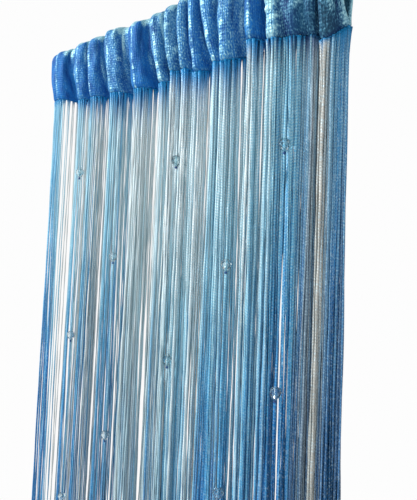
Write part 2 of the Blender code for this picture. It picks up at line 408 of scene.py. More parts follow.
def pocketGrid(u):
    # The pocket's inner surface. Walls: y = yc -+ gap/2 + (reach - yc) sin(pi/2 up^swell) and
    # z = foot + up height. Crown: y = reach sin(a)^r, z = top - crown (1 - cos(a)^r), with a from 90 degrees
    # to -90 over the rod.
    x, y, lean, drop, sink = seamAt(u)
    toEnd = np.maximum(np.minimum(x - curtain["leftEnd"], rightEnd - x), 0)
    opened = np.minimum(toEnd / curtain["endTaper"], 1.0)
    front = -(curtain["rodClearance"] + curtain["frontSpread"] * (deepest - y) * opened)
    back = curtain["rodClearance"] + curtain["backSpread"] * (furthest + y) * opened
    crestShare = (deepest - y) / (furthest + deepest)
    top = -curtain["clothThickness"] - curtain["crownDip"] * crestShare - sink
    foot = -curtain["pocketHeight"] - drop + curtain["clothThickness"]
    wallHeight = top - curtain["crownHeight"] - foot
    up = np.linspace(0, 1, heading["wallRows"])[:, None]
    swollen = np.sin(pi / 2 * up ** curtain["swell"])
    gap = curtain["seamGap"] / 2
    angle = np.radians(np.linspace(90, -90, heading["crownRows"] + 2)[1:-1])[:, None]
    reach = np.where(angle > 0, front, back)
    crownY = reach * np.abs(np.sin(angle)) ** curtain["crownRound"]
    crownZ = top - curtain["crownHeight"] * (1 - np.cos(angle) ** curtain["crownRound"])
    frontY, backY = y - gap + (front - y) * swollen, y + gap + (back - y) * swollen
    rowY = np.concatenate((frontY, crownY, backY[::-1]))
    wallZ = foot + up * wallHeight
    rowZ = np.concatenate((wallZ, crownZ, wallZ[::-1]))
    rowX = leaningX(x, lean, rowZ)
    return np.stack((rowX, rowY, rowZ), -1)


def gridNormals(points):
    # cross product of the steps along the cloth and round the pocket
    along = np.gradient(points, axis=1)
    around = np.gradient(points, axis=0)
    normal = np.cross(along, around)
    return normal / np.maximum(np.linalg.norm(normal, axis=-1, keepdims=True), 1e-12)


def creaseRelief(run, height):
    # sum of rise exp(-(across/width)^2) (1 - (2 along/length)^2)^2 over the table, in metres
    relief = np.zeros(np.broadcast(run, height).shape)
    for crease in creaseTable:
        tilt = radians(crease["tilt"])
        ds = run - np.interp(crease["flank"], seamU, seamRun) / mm
        dh = height - crease["height"]
        across = ds * cos(tilt) - dh * sin(tilt)
        along = ds * sin(tilt) + dh * cos(tilt)
        window = np.clip(1 - (2 * along / crease["length"]) ** 2, 0, 1) ** 2
        relief += crease["rise"] * mm * np.exp(-(across / crease["width"]) ** 2) * window
    return relief


def softNoise(rng, run, height, pitch, waves=7):
    # a few plane sine waves of about this pitch in random directions, each of unit height over the root of n
    total = np.zeros(np.broadcast(run, height).shape)
    for _ in range(waves):
        turn, phase, size = rng.uniform(0, pi), rng.uniform(0, 2 * pi), pitch * rng.uniform(0.7, 1.5)
        total += np.sin(2 * pi * (run * cos(turn) + height * sin(turn)) / size + phase)
    return total / waves ** 0.5


def turnNearness(run, width, first):
    # exp(-(s - turn)^2/width^2), the largest over every other turn: the hollows from 0, the crests from 1
    marks = np.interp(np.arange(first, flankCount + 1, 2), seamU, seamRun) / mm
    return np.exp(-((run[..., None] - marks) / width) ** 2).max(-1)


def lurexHighlightAndShade(rng, u, run, height, loop, creases):
    # front wall, s along the cloth and h up from the seam: lurex with painted highlight is crest
    # exp(-(s - mark)^2/width^2) or the flank's share, plus highlighted crease ridges, and crown over the rod;
    # painted shade is exp(-(s - hollow)^2/deep^2), the troughs or along the hem exp(-h^2/height^2)
    place = lurexLightPlace
    fold = np.clip((u / 2).astype(int), 0, len(foldTable) - 1)
    marks = np.interp(2 * np.arange(len(foldTable)) + 1, seamU, seamRun) / mm
    distance = np.abs(run[0] - marks[fold])
    # painted highlight along each fold's crest, carried as a lurex share
    glow = np.exp(-(distance / lurexLightTable["width"][fold]) ** 2) * lurexLightTable["crest"][fold]
    glint = place["glowMean"] + place["glowChange"] * softNoise(rng, run, height, place["glowPitch"])
    glow = glow * np.clip(glint, *place["glowRange"])
    endGlow = place["endShare"] * np.exp(-((clothWidth / mm - run) / place["endGlow"]) ** 2)
    lurex = np.maximum(np.maximum(glow, endGlow), lurexLightTable["flank"][fold])
    lurex = lurex + place["ridgeHighlight"] * np.clip(creases / place["creaseRise"], 0, 1)
    depth = place["crownDepth"] - place["crownChange"] * softNoise(rng, run, height, place["crownPitch"])
    overRod = smoothStep((height - (loop / 2 - depth)) / place["crownFade"])
    lurex = np.maximum(lurex, place["crownHighlight"] * overRod)
    hollows = np.interp(2 * np.arange(len(foldTable)) + 2, seamU, seamRun) / mm
    # painted shade beside each hollow, along the hem and in the crease troughs
    deep = np.exp(-((run[..., None] - hollows) / lurexLightTable["deep"]) ** 2).max(-1)
    foot = lurexLightTable["hem"][fold] * np.exp(-(height / place["hemShadeHeight"]) ** 2)
    troughs = place["troughShade"] * np.clip(-creases / place["creaseRise"], 0, 1)
    paintedShade = np.maximum(np.maximum(deep, foot), troughs) * (1 - overRod)
    # painted shade: a dark grey-blue share fold by fold, most of it on the folds at the right end
    faded = np.broadcast_to(np.interp(run[0], marks, lurexLightTable["faded"]), run.shape)
    return lurex, paintedShade, faded


def makeHeading():
    # the pocket's surface moved along its normal by the pinched crests, the creases, the gathers
    # pucker sin(2 pi s/pitch) exp(-h/height) and soft noise, s along the cloth and h up from the seam
    rng = np.random.default_rng(heading["seed"])
    runs = np.linspace(0, clothWidth, heading["columns"])
    u = np.interp(runs, seamRun, seamU)
    base = pocketGrid(u)
    rows = len(base)
    run = np.broadcast_to(runs / mm, (rows, len(runs)))
    steps = np.linalg.norm(np.diff(base, axis=0), axis=-1)
    around = np.concatenate((np.zeros((1, len(runs))), np.cumsum(steps, axis=0))) / mm
    loop = around[-1]
    isFront = around < loop / 2
    height = np.minimum(around, loop - around)

    # crests stand proud on the front wall, hollows on the back wall
    nearHollow, nearCrest = (turnNearness(run, heading["pinchWidth"], first) for first in (0, 1))
    ridge = np.where(isFront, nearCrest, nearHollow)
    pinchNoise = softNoise(rng, run * 0.4, height, heading["pinchPitch"])
    relief = heading["pinch"] * ridge * (heading["pinchMean"] + heading["pinchChange"] * pinchNoise)
    creases = np.where(isFront, creaseRelief(run, height), 0)
    relief += creases
    relief += np.where(isFront, 0, creaseRelief(clothWidth / mm - run, height) * heading["backCrease"])
    drift = softNoise(rng, run, height, heading["puckerDrift"])
    gathers = np.sin(2 * pi * run / heading["puckerPitch"] + 1.5 * drift)
    relief += heading["pucker"] * gathers * np.exp(-height / heading["puckerHeight"]) * (1 - ridge)
    soft = softNoise(rng, run, height * 0.5, heading["rumplePitch"])
    relief += heading["rumple"] * soft * (1 - 0.6 * ridge)
    relief *= smoothStep(height / heading["calmFoot"])
    points = base + gridNormals(base) * relief[..., None]

    lurex, paintedShade, faded = lurexHighlightAndShade(rng, u, run, height, loop, creases)
    # on the back wall painted highlight lies on its crests, the front's hollows, and painted shade on the
    # front's crests
    backLurex = np.maximum(nearHollow * lurexLightPlace["backHighlight"], lurexLightPlace["backLeast"])
    paint = dict(
        cloth=np.stack((run, around, height), -1).reshape(-1, 3),
        lurex=np.where(isFront, lurex, backLurex).ravel(),
        paintedShade=np.where(isFront, paintedShade, nearCrest).ravel(),
        faded=faded.ravel(),
    )
    piece = makeMesh("heading_cloth", joined(points), gridQuads(rows, len(runs)), attributes=paint)
    wall = piece.modifiers.new("cloth", "SOLIDIFY")
    wall.thickness, wall.offset = curtain["clothThickness"], 1.0
    print(f"heading: {rows} x {len(runs)} points, loop {loop.mean():.0f} mm")
    return piece, float(loop.mean()) * mm


def wovenLurexBand():
    # polyester band woven with flat lurex: deep royal blue ground, silver-cyan sparkle, fine ribs; painted
    # highlights on crests, painted shade in hollows
    made, tree, shader = newMaterial("woven polyester and lurex band")
    place = addNode(tree, "Attribute", {"attribute_name": "cloth"}).outputs["Vector"]
    lurex, faded, paintedShade = (
        addNode(tree, "Attribute", {"attribute_name": name}).outputs["Fac"]
        for name in ("lurex", "faded", "paintedShade"))
    speck, cloud = (
        addNode(tree, "TexNoise", {"Scale": 1.0, "Detail": detail, "Vector": addNode(
            tree, "VectorMath", {"operation": "MULTIPLY", 0: place, 1: scale})})
        for scale, detail in (((0.75, 0.42, 0.0), 2.0), ((0.10, 0.05, 0.0), 3.0)))
    axes = addNode(tree, "SeparateXYZ", {0: place})
    ribs, weft = (
        addNode(tree, "Math", {"operation": "SINE", 0: addNode(
            tree, "Math", {"operation": "MULTIPLY", 0: axes.outputs[axis], 1: 2 * pi / pitch})})
        for axis, pitch in (("X", heading["ribPitch"]), ("Y", heading["weftPitch"])))

    # the lurex shows where its share, painted highlight included, and the patterns, each times its gain, add
    # up to more than the threshold
    shown = -heading["lurexThreshold"]
    for gain, source in ((2.2, speck), (0.9, cloud), (0.05, ribs), (0.06, weft), (1.35, lurex)):
        shown = addNode(tree, "Math", {"operation": "MULTIPLY_ADD", 0: source, 1: gain, 2: shown})
    shown.use_clamp = True

    # each layer's colour goes over the last by its share: two painted shades, dark grey-blue and navy, then
    # the silver of the lurex and the painted highlights
    ground = addNode(tree, "ValToRGB", {"Fac": cloud}, ((0.30, "#0A4A92"), (0.72, "#1876C4")))
    silver = addNode(tree, "ValToRGB", {"Fac": shown}, ((0.0, "#2C6C94"), (0.5, "#5C9EBE"), (1.0, "#9CCEDD")))
    # painted shade: its navy goes over by 0.85 of the share
    depth = addNode(tree, "Math", {"operation": "MULTIPLY", 0: paintedShade, 1: 0.85})
    colour = ground.outputs["Color"]
    for share, over in ((faded, linear("#1C465C")), (depth, linear("#05205A")), (shown, silver)):
        colour = addNode(tree, "Mix", {"data_type": "RGBA", "Factor": share, 6: colour, 7: over}).outputs[2]
    relief = speck
    for gain, source in ((0.35, ribs), (0.30, weft)):
        relief = addNode(tree, "Math", {"operation": "MULTIPLY_ADD", 0: source, 1: gain, 2: relief})
    setNode(tree, shader, {
        "Base Color": colour,
        "Metallic": addNode(tree, "Math", {"operation": "MULTIPLY", 0: shown, 1: 0.25}),
        "Roughness": addNode(tree, "Math", {"operation": "MULTIPLY_ADD", 0: shown, 1: -0.22, 2: 0.62}),
        "Normal": addNode(tree, "Bump", {"Strength": 0.55, "Distance": 0.0006, "Height": relief}),
        "Specular IOR Level": 0.15,
    })
    return made


headingCloth, loopLength = makeHeading()
headingCloth.data.materials.append(wovenLurexBand())
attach(headingCloth, "root")
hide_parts("heading")

# String fall: every string's hanging line

fall = dict(
    strings=300,  # the main strings, those of the solid
    fineStrings=340,  # thinner ones between and behind them
    fineOffset=(-1.2, 3.2),  # millimetres that these hang before or behind the band's middle
    widen=0.40,  # how much wider the strings of the right half are, as a share
    widenFrom=0.15,  # share of the cloth where they begin to widen, and over which they do
    widenOver=0.40,
    sizeRange=(0.85, 1.15),
    toneSpread=0.17,  # how much one string differs from its neighbours
    greySpread=0.55,
    clusters=105,  # how many groups of alike strings there are, the pale ones greyer
    ownTone=0.60,  # how much a string differs from its own group
    ownGrey=0.35,
    # painted shade: the finer strings, hanging mostly behind, are drawn darker by this
    fineShade=0.06,
    paleDepth=0.50,  # painted light: the yarn is drawn paler above this depth
    rootReach=2.0,  # a blue like the heading's reaches this many times the table's depth, times a draw of each string's own, and these millimetres more on the finer strings
    rootRange=(0.6, 2.0),  # times a draw of each string's own,
    fineRoot=3.0,  # and these millimetres more on the finer strings
    shadeRange=(0.7, 1.0),
    shadeDepth=0.022,
    rightPull=0.0012,  # the last strings at the right are drawn in by this
    pullShare=0.02,
    pullDepth=0.02,
    twist=0.14,  # metres of drop for one turn of the tape
    stitchPitch=2.4,  # millimetres; the real chain stitches are about 1.2 mm, too fine to show
    stitchStart=2.4,  # radians of a stitch from one string's first to the next one's
    rootWidth=1.0,  # how much wider a string is where it leaves the band, as a share
    rootDepth=0.005,
    bandHeight=0.0016,
    bandThickness=0.0014,
    rootStep=0.0026,  # the strings leave the band in two rows, a third of this apart
    rootOverlap=0.0016,  # how far a string reaches up into the band
    ringSpacing=1.25,  # over 1, a string's rings lie closer near its root
    kneeDepth=0.600,  # below this a string hangs plumb
    spread=0.019,  # how far the outermost strings stand outside the heading
    shift=-0.003,
    wander=0.0011,  # a string's own slow waves, three of them, full from wanderDepth down
    waveRange=(0.35, 1.5),
    wanderDepth=0.25,
    hemUnevenness=0.003,
    hemBeat=2.4,
    seed=7,
)
# One row a kind of string: its first string, how many meshes there are and how many strings in each, rings
# down a string, sides, half width and half thickness
stringKinds = dict(
    strings=dict(first=0, meshes=3, each=100, levels=150, sides=5, width=0.84 * mm, thickness=0.52 * mm),
    fine_strings=dict(
        first=300, meshes=2, each=170, levels=112, sides=4, width=0.62 * mm, thickness=0.42 * mm),
)
# How the strings differ along the cloth, as a share of its width. top and low are the yarn's tone at the
# heading and half a metre down, 0 for deep blue and 1 for pale; the paler top is painted light. grey is
# how much of the yarn is bare silver lurex and fine how thick the finer strings hang. root is how many
# millimetres keep a blue like the heading's, and dark is how deep the finer strings' roots lie in painted
# shade.
yarnTable = table("share top low grey fine root dark", [
    (0, 0.66, 0.4, 0.1, 0.15, 2, 0),
    (0.055, 0.7, 0.45, 0.2, 0.15, 2, 0),
    (0.065, 0.95, 0.75, 0.55, 0.15, 1, 0),
    (0.085, 0.95, 0.7, 0.55, 0.15, 1, 0),
    (0.1, 0.82, 0.38, 0.15, 0.2, 2, 0),
    (0.14, 0.82, 0.45, 0.2, 0.3, 4, 0),
    (0.18, 0.84, 0.48, 0.25, 0.4, 6, 0),
    (0.222, 0.84, 0.42, 0.2, 1.6, 6, 0),
    (0.245, 0.7, 0.32, 0.1, 2, 7, 0),
    (0.26, 0.66, 0.26, 0.05, 0.6, 7, 0),
    (0.3, 0.85, 0.42, 0.15, 0.6, 8, 0),
    (0.325, 0.72, 0.26, 0.05, 1.8, 8, 0),
    (0.35, 0.92, 0.5, 0.4, 0.6, 9, 0),
    (0.4, 0.97, 0.68, 0.5, 0.6, 9, 0),
    (0.418, 0.94, 0.6, 0.45, 1.5, 9, 0),
    (0.44, 0.95, 0.62, 0.5, 0.6, 8, 0),
    (0.47, 0.94, 0.6, 0.5, 0.6, 6, 0),
    (0.49, 0.92, 0.46, 0.1, 0.6, 6, 0),
    (0.52, 1, 0.6, 0.2, 0.6, 8, 0),
    (0.545, 0.9, 0.4, 0, 0.6, 8, 0),
    (0.58, 0.98, 0.6, 0.15, 0.6, 7, 0),
    (0.6, 1.02, 0.66, 0.5, 0.6, 6, 0),
    (0.62, 0.98, 0.6, 0.15, 0.6, 6, 0),
    (0.65, 0.98, 0.64, 0.05, 0.7, 8, 0),
    (0.662, 0.86, 0.36, 0, 1.8, 8, 0),
    (0.69, 0.94, 0.4, 0, 0.8, 8, 0),
    (0.72, 0.96, 0.58, 0.1, 0.8, 9, 0),
    (0.745, 0.92, 0.38, 0, 0.9, 9, 0),
    (0.77, 0.92, 0.4, 0.1, 2.2, 9, 0.2),
    (0.81, 0.9, 0.48, 0, 1, 8, 0.4),
    (0.83, 0.88, 0.44, 0, 1.2, 6, 0.5),
    (0.86, 0.7, 0.32, 0, 1.4, 2, 1),
    (0.882, 0.78, 0.33, 0, 2.6, 2, 1),
    (0.905, 0.76, 0.3, 0, 3.2, 3, 1),
    (0.925, 0.68, 0.25, 0, 4.2, 3, 1),
    (0.932, 0.6, 0.28, 0.35, 4.5, 1, 1),
    (0.94, 0.6, 0.36, 0.95, 4.5, 1, 0.8),
    (0.958, 0.46, 0.32, 1, 2.4, 1, 0.3),
    (0.976, 0.6, 0.38, 0.9, 2.6, 1, 0.2),
    (0.984, 0.56, 0.2, 0.22, 6, 3, 0.2),
    (0.992, 0.54, 0.1, 0.16, 9, 3, 0.2),
    (1, 0.5, 0.22, 0.45, 9, 3, 0.2),
])
# slow waves of the hanging strings: across and forward in metres, length on the cloth, phase
swayTable = ((0.0022, 0.0, 0.330, 0.6), (0.0008, 0.0, 0.120, 2.0), (0.0, 0.0018, 0.270, 1.9))


def stringRoots():
    # two strings to a band step, at a third and two thirds of it, each a sixth of rootStep to its side
    number = np.arange(fall["strings"])
    step = clothWidth / (fall["strings"] // 2)
    place = (number // 2 + np.where(number % 2, 2 / 3, 1 / 3)) * step
    foot, across = footAt(place)
    side = np.where(number % 2, 1, -1)[:, None] * fall["rootStep"] / 6
    root = foot + across * side
    # the fine ones: even steps of the summed density, each a little before or behind the band's middle
    share = np.linspace(0, 1, 400)
    density = np.interp(share, yarnTable["share"], yarnTable["fine"])
    summed = np.concatenate(([0.0], np.cumsum((density[1:] + density[:-1]) / 2)))
    even = (np.arange(fall["fineStrings"]) + 0.5) / fall["fineStrings"]
    finePlace = np.interp(even, summed / summed[-1], share) * clothWidth
    foot, across = footAt(finePlace)
    offset = stringRng.uniform(*fall["fineOffset"], fall["fineStrings"])[:, None] * mm
    place, root = np.concatenate((place, finePlace)), np.concatenate((root, foot + across * offset))
    root[:, 2] -= fall["bandHeight"]
    return place, root


def perString(low, high, *shape):
    return stringRng.uniform(low, high, (allStrings, *shape))


stringRng = np.random.default_rng(fall["seed"])
stringPlace, stringRoot = stringRoots()
allStrings = len(stringPlace)
stringShare = stringPlace / clothWidth
fineOnes = np.arange(allStrings) >= fall["strings"]
stringTop, stringLow, stringGrey, stringBlue, stringShade = (
    np.interp(stringShare, yarnTable["share"], yarnTable[name])
    for name in ("top", "low", "grey", "root", "dark"))
# the sum of two draws leaves most groups near the middle
groupTone = 0.7 * stringRng.uniform(-1, 1, (fall["clusters"], 2)).sum(1)
clusterTone = np.interp(stringShare, np.linspace(0, 1, fall["clusters"]), groupTone)
stringOwn = fall["toneSpread"] * (clusterTone + fall["ownTone"] * perString(-1, 1))
# painted shade on the finer strings
stringOwn = stringOwn - fall["fineShade"] * fineOnes
stringGrey += fall["greySpread"] * (clusterTone + fall["ownGrey"] * perString(-1, 1))
stringGrey = np.clip(stringGrey, 0, 1)
stringBlue = fall["rootReach"] * stringBlue * perString(*fall["rootRange"]) + fall["fineRoot"] * fineOnes
stringShade = stringShade * fineOnes * perString(*fall["shadeRange"])
stringSize = 1 + fall["widen"] * smoothStep((stringShare - fall["widenFrom"]) / fall["widenOver"])
stringSize = stringSize * perString(*fall["sizeRange"])
stringTurn = perString(0, 2 * pi)
waveLengths = perString(*fall["waveRange"], 3, 2)
wavePhases = perString(0, 2 * pi, 3, 2)


def stringLine(number, z):
    # root + (drift + wander) with drift = (shift + spread x/(W/2) + sum of sways) min(depth/knee, 1)
    # and wander = sum of sin(2 pi depth/length + phase) over three waves, grown over wanderDepth; the last
    # strings are drawn in by pull exp((share - 1)/pullShare)
    root = stringRoot[number]
    depth = root[..., 2] - z
    grown = np.clip(depth / fall["kneeDepth"], 0, 1)
    dx = fall["shift"] + fall["spread"] * root[..., 0] / (gatheredWidth / 2)
    dy = np.zeros_like(dx)
    for across, forward, length, phase in swayTable:
        wave = np.sin(2 * pi * stringPlace[number] / length + phase)
        dx = dx + across * wave
        dy = dy + forward * wave
    own = np.sin(2 * pi * depth[..., None, None] / waveLengths[number] + wavePhases[number])
    own = (own - np.sin(wavePhases[number])).sum(-2) / 3 ** 0.5
    own = own * (fall["wander"] * np.clip(depth / fall["wanderDepth"], 0, 1))[..., None]
    pulled = fall["rightPull"] * np.exp((stringShare[number] - 1) / fall["pullShare"])
    pulled = pulled * np.clip(depth / fall["pullDepth"], 0, 1)
    return root[..., 0] + dx * grown + own[..., 0] - pulled, root[..., 1] + dy * grown + own[..., 1]


beads = dict(
    strings=(44, 92, 159, 226, 273),
    radius=5.0 * mm,
    height=10.0 * mm,
    pitch=0.196,
    firstDepth=0.162,
    beside=3.0 * mm,  # neighbours from two of these on the left to four on the right step back
    aboveHem=0.030,
    hole=0.9 * mm,
    facets=8,
    forward=6.0 * mm,  # a bead hangs this far off its string's line, towards the viewer
    ownReach=55 * mm,  # its string comes out to it over this height on each side
    clear=3.5 * mm,  # its neighbours pass this far behind its middle
    reach=20 * mm,  # over this height on each side of it
    knotRadius=1.25 * mm,
    knotStretch=1.1,
    knotDrop=1.4 * mm,  # from the bead's lower end to the knot's middle
    seed=19,
)


def towardsViewer(x, y):
    # level unit step (camera - point)/|camera - point|: moving along it changes nothing in the picture
    step = np.stack((camera["place"][0] - x, camera["place"][1] - y), -1)
    return step / np.linalg.norm(step, axis=-1, keepdims=True)


def beadPlaces():
    # beads every pitch down each beaded string, the second and fourth strings half a pitch lower
    numbers, depths = [], []
    for order, number in enumerate(beads["strings"]):
        start = beads["firstDepth"] + (beads["pitch"] / 2 if order % 2 else 0)
        down = np.arange(start, curtain["drop"] - beads["aboveHem"], beads["pitch"])
        numbers.append(np.full(len(down), number))
        depths.append(down)
    numbers, depths = np.concatenate(numbers), np.concatenate(depths)
    x, y = stringLine(numbers, -depths)
    step = towardsViewer(x, y) * beads["forward"]
    return numbers, np.stack((x + step[:, 0], y + step[:, 1], -depths), -1)


beadNumbers, beadCentres = beadPlaces()


def roundBeads(number, x, y, z):
    # a bead's string comes out to it by w = (1 - (dz/ownReach)^2)^2 of the bead's step, and its neighbours
    # go back along the same line, with w over the smaller reach, until y is clear behind the bead's middle
    x, y = x.copy(), y.copy()
    for own, (beadX, beadY, beadZ) in zip(beadNumbers, beadCentres):
        stepX, stepY = towardsViewer(beadX, beadY)
        near = np.clip(1 - ((z - beadZ) / beads["reach"]) ** 2, 0, 1) ** 2
        beside = np.clip(2 - 2 * ((x - beadX - beads["beside"]) / (3 * beads["beside"])) ** 2, 0, 1)
        back = near * beside * np.maximum(beadY + beads["clear"] - y, 0) / stepY
        out = beads["forward"] * np.clip(1 - ((z - beadZ) / beads["ownReach"]) ** 2, 0, 1) ** 2
        moved = np.where(number == own, out, back)
        x += moved * stepX
        y += moved * stepY
    return x, y


def makeStrings(name, first, count, kind):
    # a flat tape twisted about its line: centre + a cos(t) e1 + b sin(t) e2, e1 turned by 2 pi depth/twist
    column = np.arange(first, first + count)[:, None]
    levels, sides = kind["levels"], kind["sides"]
    top = stringRoot[column, 2] + fall["rootOverlap"]
    hem = -curtain["drop"] + fall["hemUnevenness"] * (1 + np.sin(column * fall["hemBeat"])) / 2
    share = np.linspace(0, 1, levels) ** fall["ringSpacing"]
    z = top + (hem - top) * share
    depth = top - z
    number = np.broadcast_to(column, z.shape)
    x, y = roundBeads(number, *stringLine(number, z), z)
    turn = (stringTurn[column] + 2 * pi * depth / fall["twist"] * (0.9 + 2 * stringOwn[column]))[..., None]
    swell = (stringSize[column] * (1 + fall["rootWidth"] * np.exp(-depth / fall["rootDepth"])))[..., None]
    angle = 2 * pi * np.arange(sides) / sides
    a, b = kind["width"] * swell * np.cos(angle), kind["thickness"] * swell * np.sin(angle)
    px = x[..., None] + a * np.cos(turn) - b * np.sin(turn)
    py = y[..., None] + a * np.sin(turn) + b * np.cos(turn)
    rings = np.stack((px, py, np.broadcast_to(z[..., None], px.shape)), -1)
    ends = [0, -1]
    poles = np.stack((x[:, ends], y[:, ends], z[:, ends]), -1)

    def onPoints(values):
        # a value a ring, shared by the ring's points, then each string's first and last for its poles
        values = np.broadcast_to(values, z.shape)
        return np.concatenate((np.repeat(values, sides, axis=1).ravel(), values[:, ends].ravel()))

    # yarn holds the string's number, the way round it and the depth in millimetres
    around = np.broadcast_to(np.arange(sides) / sides, px.shape)
    wayRound = np.concatenate((around.ravel(), np.zeros(2 * count)))
    # painted light: the tone goes from top, near the heading, to low, half a metre down
    fallen = smoothStep(depth / fall["paleDepth"])
    tone = stringTop[column] + (stringLow - stringTop)[column] * fallen + stringOwn[column] * (0.6 + fallen)
    paint = dict(
        yarn=np.stack((onPoints(column), wayRound, onPoints(depth / mm)), -1),
        tone=onPoints(tone),
        grey=onPoints(stringGrey[column]),
        root=onPoints(np.exp(-(depth / mm / stringBlue[column]) ** 2)),
        dark=onPoints(stringShade[column] * np.exp(-(depth / fall["shadeDepth"]) ** 2)),
    )
    # each string has its own strip of the bake map, its poles in the middle
    strip = np.arange(count)[:, None, None] + 0.15 + 0.7 * np.abs(1 - 2 * around)
    across = np.concatenate((strip.ravel(), np.repeat(np.arange(count), 2) + 0.5)) / count
    bakeMap = np.stack((across, onPoints(1 - share)), -1)
    quads, caps = tubeQuads(count, levels, sides), tubeCaps(count, levels, sides)
    return makeMesh(name, joined(rings, poles), quads, caps, paint, bakeMap)


def chainKnitYarn():
    # chain-knitted polyester yarn with a lurex thread: soft blue tape, ladder of stitches, silver glitter
    made, tree, shader = newMaterial("chain-knitted polyester and lurex yarn")
    place = addNode(tree, "Attribute", {"attribute_name": "yarn"}).outputs["Vector"]
    tone, grey, root, dark = (
        addNode(tree, "Attribute", {"attribute_name": name}).outputs["Fac"]
        for name in ("tone", "grey", "root", "dark"))
    axes = addNode(tree, "SeparateXYZ", {0: place})
    glitter, patch = (
        addNode(tree, "TexNoise", {"Scale": 1.0, "Detail": 1.0, "Vector": addNode(
            tree, "VectorMath", {"operation": "MULTIPLY", 0: place, 1: scale})})
        for scale in ((3.7, 2.0, 0.62), (1.9, 0.0, 0.006)))
    # each string's stitches start at a place of their own
    start = addNode(tree, "Math", {"operation": "MULTIPLY", 0: axes.outputs["X"], 1: fall["stitchStart"]})
    stitch = addNode(tree, "Math", {
        "operation": "MULTIPLY_ADD", 0: axes.outputs["Z"], 1: 2 * pi / fall["stitchPitch"], 2: start})
    ladder = addNode(tree, "Math", {"operation": "SINE", 0: stitch})
    # painted light: the upper strings' stitches and glitter are drawn stronger, from 1 at 60 mm down to 0 at
    # 700 mm
    high = addNode(tree, "MapRange", {
        "Value": axes.outputs["Z"], "From Min": 60.0, "From Max": 700.0, "To Min": 1.0, "To Max": 0.0})
    rung = addNode(tree, "Math", {"operation": "MULTIPLY", 0: ladder, 1: high})
    shade = tone
    for gain, source in ((0.34, patch), (0.09, rung)):
        shade = addNode(tree, "Math", {"operation": "MULTIPLY_ADD", 0: source, 1: gain, 2: shade})
    shade = addNode(tree, "Math", {"operation": "SUBTRACT", 0: shade, 1: 0.17, "use_clamp": True})
    dyed = addNode(tree, "ValToRGB", {"Fac": shade}, (
        (0.0, "#124A74"), (0.25, "#2179BE"), (0.50, "#57A8D4"), (0.75, "#9AD0E2"), (1.0, "#DEEEF4")))
    bare = addNode(tree, "ValToRGB", {"Fac": shade}, ((0.0, "#5E6C6A"), (1.0, "#DFDFDA")))
    sparkle = addNode(tree, "MapRange", {
        "Value": glitter, "From Min": 0.52, "From Max": 0.66, "To Min": 0.0, "To Max": 1.0})
    strength = addNode(tree, "Math", {"operation": "MULTIPLY_ADD", 0: high, 1: 0.30, 2: 0.15})
    shown = addNode(tree, "Math", {"operation": "MULTIPLY", 0: sparkle, 1: strength})
    # bare lurex, glitter, a blue like the heading's at the roots, and painted shade each go over the dyed
    # yarn
    colour = dyed.outputs["Color"]
    for share, over in (
        (grey, bare), (shown, linear("#C4E6F6")), (root, linear("#1588C4")), (dark, linear("#0A2A5C")),
    ):
        colour = addNode(tree, "Mix", {"data_type": "RGBA", "Factor": share, 6: colour, 7: over}).outputs[2]
    relief = addNode(tree, "Math", {"operation": "MULTIPLY_ADD", 0: ladder, 1: 0.4, 2: glitter})
    setNode(tree, shader, {
        "Base Color": colour,
        "Metallic": addNode(tree, "Math", {"operation": "MULTIPLY", 0: shown, 1: 0.5}),
        "Normal": addNode(tree, "Bump", {"Strength": 0.6, "Distance": 0.0005, "Height": relief}),
        "Roughness": 0.42,
        "Specular IOR Level": 0.3,
    })
    return made


yarnMaterial = chainKnitYarn()
for kindName, kind in stringKinds.items():
    for part in range(kind["meshes"]):
        first = kind["first"] + part * kind["each"]
        piece = makeStrings(f"{kindName}_{part + 1}", first, kind["each"], kind)
        piece.data.materials.append(yarnMaterial)
        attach(piece, "root")
        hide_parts("string_fall")

# Fringe band: the knitted strip that the strings hang from

band = dict(
    columns=1500,
    rows=10,
    overlap=1.1 * mm,  # how far it reaches up into the heading
    roundness=0.6,  # 1 is an ellipse in section, less is squarer
    swell=0.16,  # how much thicker it is at each string, as a share
    shade=0.3,
)


def makeBand():
    # rounded strip: y = half thickness |cos|^r sign, z = half height |sin|^r sign, swelled at each string
    rows = band["rows"]
    run = np.linspace(0, clothWidth, band["columns"])[:, None]
    foot, across = footAt(run)
    angle = 2 * pi * np.arange(rows) / rows
    c, s = (np.sign(v) * np.abs(v) ** band["roundness"] for v in (np.cos(angle), np.sin(angle)))
    swell = 1 + band["swell"] * np.cos(2 * pi * run * fall["strings"] / clothWidth)
    points = foot + across * (fall["bandThickness"] / 2 * c * swell)[..., None]
    points[..., 2] += fall["bandHeight"] / 2 * (s - 1) + band["overlap"]
    number = np.floor(run / clothWidth * fall["strings"])
    yarn = np.stack(np.broadcast_arrays(number, np.arange(rows) / rows, 1.0), -1)
    yarn = joined(yarn, np.zeros((2, 3)))
    none, whole = np.zeros(len(yarn)), np.ones(len(yarn))
    quads, caps = tubeQuads(1, len(run), rows)[:, ::-1], tubeCaps(1, len(run), rows)[:, ::-1]
    paint = dict(yarn=yarn, tone=none, grey=none, root=whole, dark=band["shade"] * whole)
    return makeMesh("fringe_band", joined(points, points[[0, -1]].mean(1)), quads, caps, paint)


fringeBand = makeBand()
fringeBand.data.materials.append(yarnMaterial)
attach(fringeBand, "root")
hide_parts("string_fall")
print("fringe band made")

# Beads: faceted clear acrylic, one above each knot

def repeated(profileRadius, profileZ, sides, centres, turns, stagger):
    # rings of r (cos a, sin a) at height z round each centre; stagger turns every other one half a facet
    rings = len(profileRadius)
    angle = 2 * pi * (np.arange(sides)[None, :] + (stagger * (np.arange(rings) % 2) / 2)[:, None]) / sides
    around = angle[None] + turns[:, None, None]
    x = centres[:, 0, None, None] + profileRadius[None, :, None] * np.cos(around)
    y = centres[:, 1, None, None] + profileRadius[None, :, None] * np.sin(around)
    z = np.broadcast_to(centres[:, 2, None, None] + profileZ[None, :, None], x.shape)
    return np.stack((x, y, z), -1)


